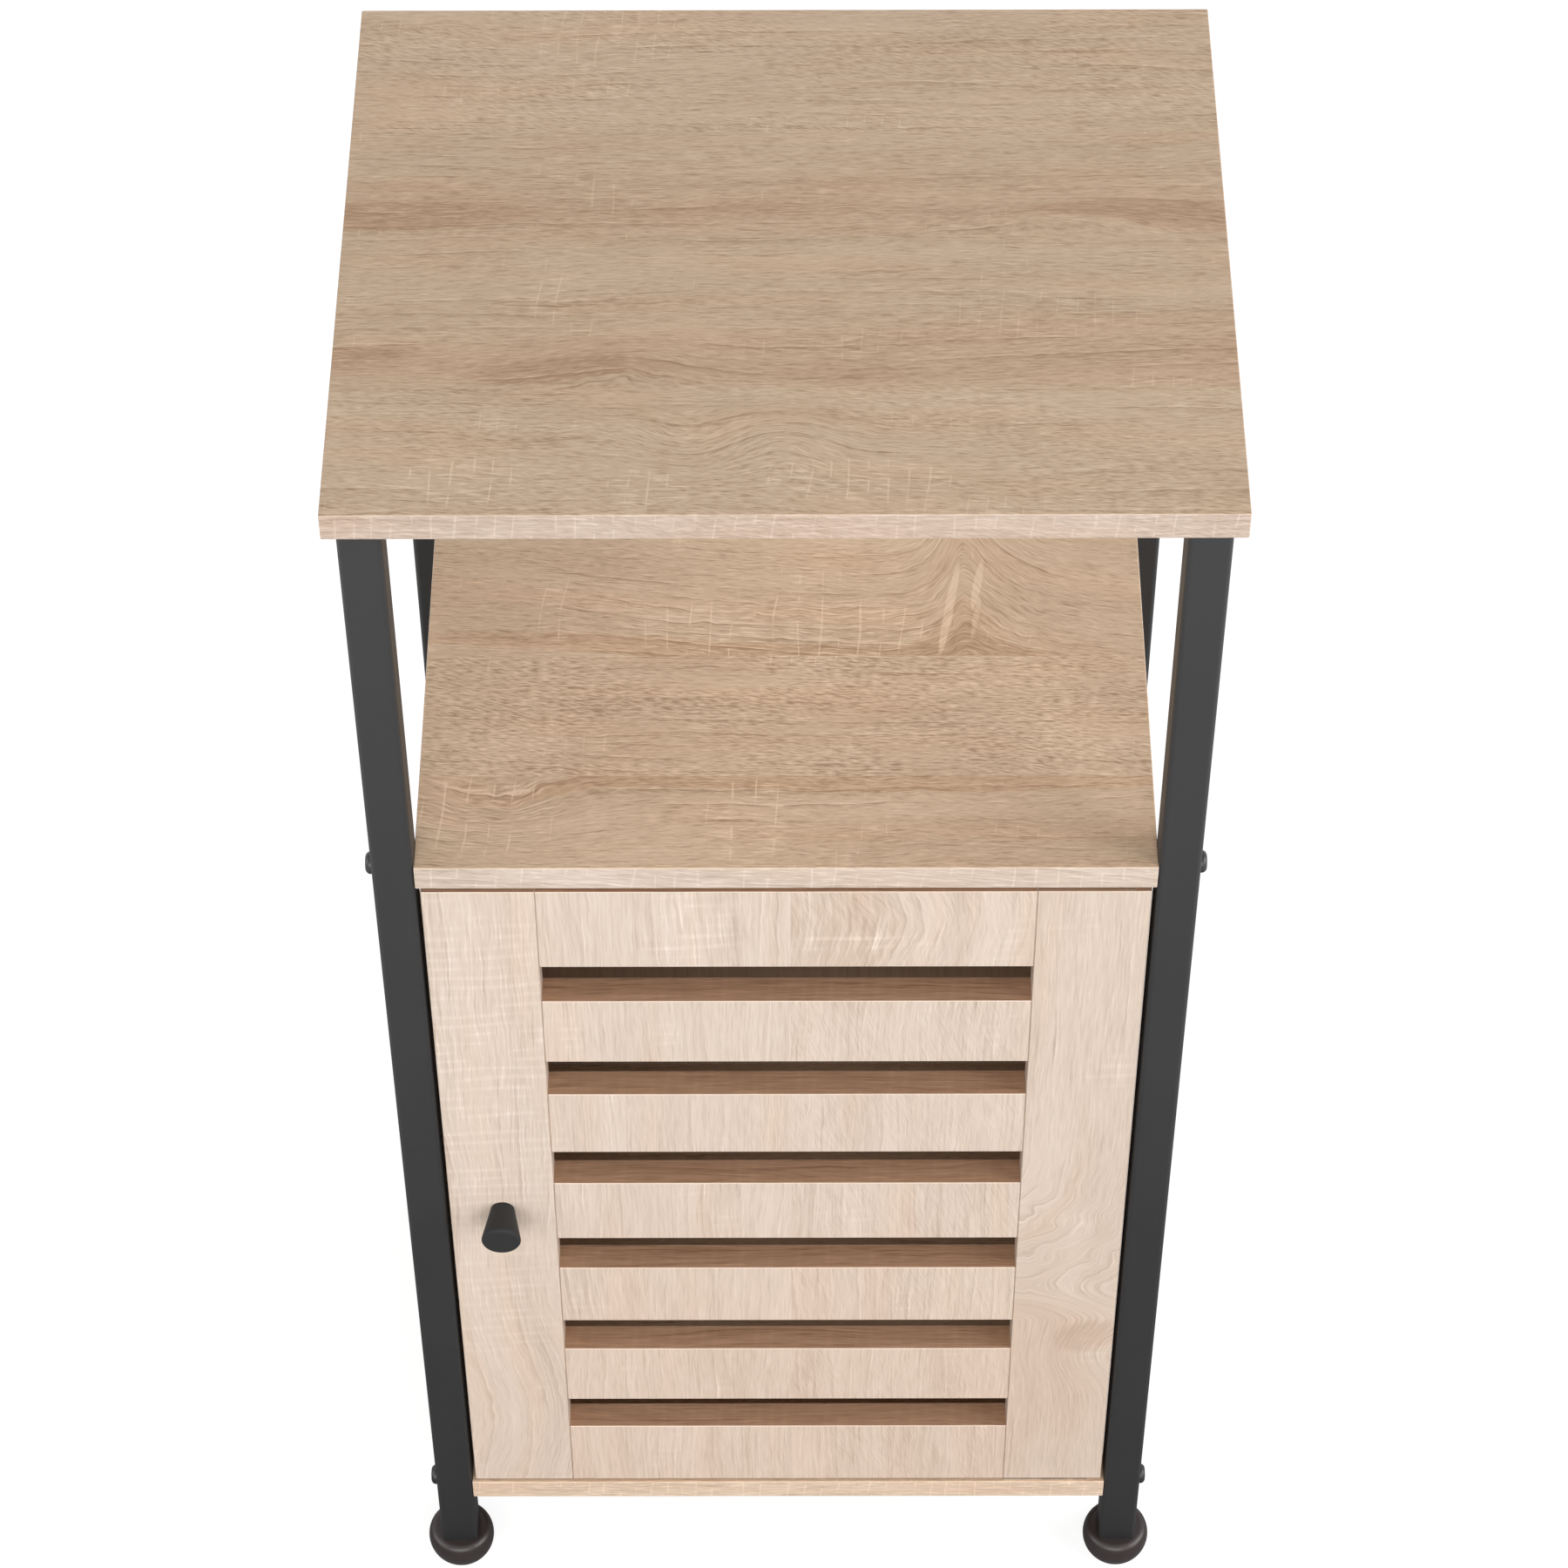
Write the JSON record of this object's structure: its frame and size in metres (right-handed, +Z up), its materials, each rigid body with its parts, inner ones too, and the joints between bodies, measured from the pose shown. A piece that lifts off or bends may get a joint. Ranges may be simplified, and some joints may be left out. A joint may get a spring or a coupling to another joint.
{
  "type": "side cabinet",
  "caption": "Tall narrow side cabinet: oak-look top on black square-tube legs, an open bay, and a cupboard below with a slatted hinged door, a conical knob and ball feet.",
  "frame": {"origin": "on the floor, midway between the four feet", "axes": "+X to the right seen from the door, +Y to the back, +Z up"},
  "size_m": [0.4066, 0.34, 0.865],
  "materials": {
    "oak_laminate": "satin printed oak laminate with a raised pore",
    "door_laminate": "satin printed oak laminate, grain upright",
    "hardboard": "thin printed hardboard",
    "black_steel": "black powder coat",
    "black_bolt": "black oxide",
    "foot_plastic": "glossy moulded plastic",
    "zinc_steel": "bright zinc plate",
    "cast_zinc": "die-cast zinc",
    "beech": "plain fluted beech",
    "catch_plastic": "black moulded plastic",
    "magnet_ferrite": "ground ferrite",
    "nylon": "natural nylon",
    "knob_black": "black powder coat"
  },
  "bodies": {
    "cabinet": {"top_board": "oak_laminate", "shelf_board": "oak_laminate", "bottom_board": "oak_laminate", "side_panel_left": "oak_laminate", "side_panel_right": "oak_laminate", "back_panel": "hardboard", "leg_front_left": "black_steel", "leg_front_right": "black_steel", "leg_rear_left": "black_steel", "leg_rear_right": "black_steel", "top_rail_left": "black_steel", "top_rail_right": "black_steel", "frame_bolts": "black_bolt", "foot_front_left": "foot_plastic", "foot_front_right": "foot_plastic", "foot_rear_left": "foot_plastic", "foot_rear_right": "foot_plastic", "frame_inserts": "zinc_steel", "top_screws": "zinc_steel", "cam_bolts": "zinc_steel", "hinge_plate_top": "zinc_steel", "hinge_plate_bottom": "zinc_steel", "hinge_screws": "zinc_steel", "catch_screws": "zinc_steel", "cam_locks": "cast_zinc", "carcass_dowels": "beech", "catch_body": "catch_plastic", "catch_magnet": "magnet_ferrite"},
    "door": {"door_stile_left": "door_laminate", "door_stile_right": "door_laminate", "door_rail_top": "door_laminate", "door_rail_bottom": "door_laminate", "door_slat_1": "door_laminate", "door_slat_2": "door_laminate", "door_slat_3": "door_laminate", "door_slat_4": "door_laminate", "door_slat_5": "door_laminate", "door_dowels": "beech", "hinge_bush_top": "nylon", "hinge_bush_bottom": "nylon", "knob": "knob_black", "knob_screw": "zinc_steel", "strike_plate": "zinc_steel", "strike_screws": "zinc_steel"}
  },
  "joints": [
    {"name": "door_hinge", "type": "hinge", "parent": "cabinet", "child": "door", "pos_m": [0.163, -0.149, 0.339], "axis": [0, 0, 1], "range_deg": [0, 110]}
  ]
}
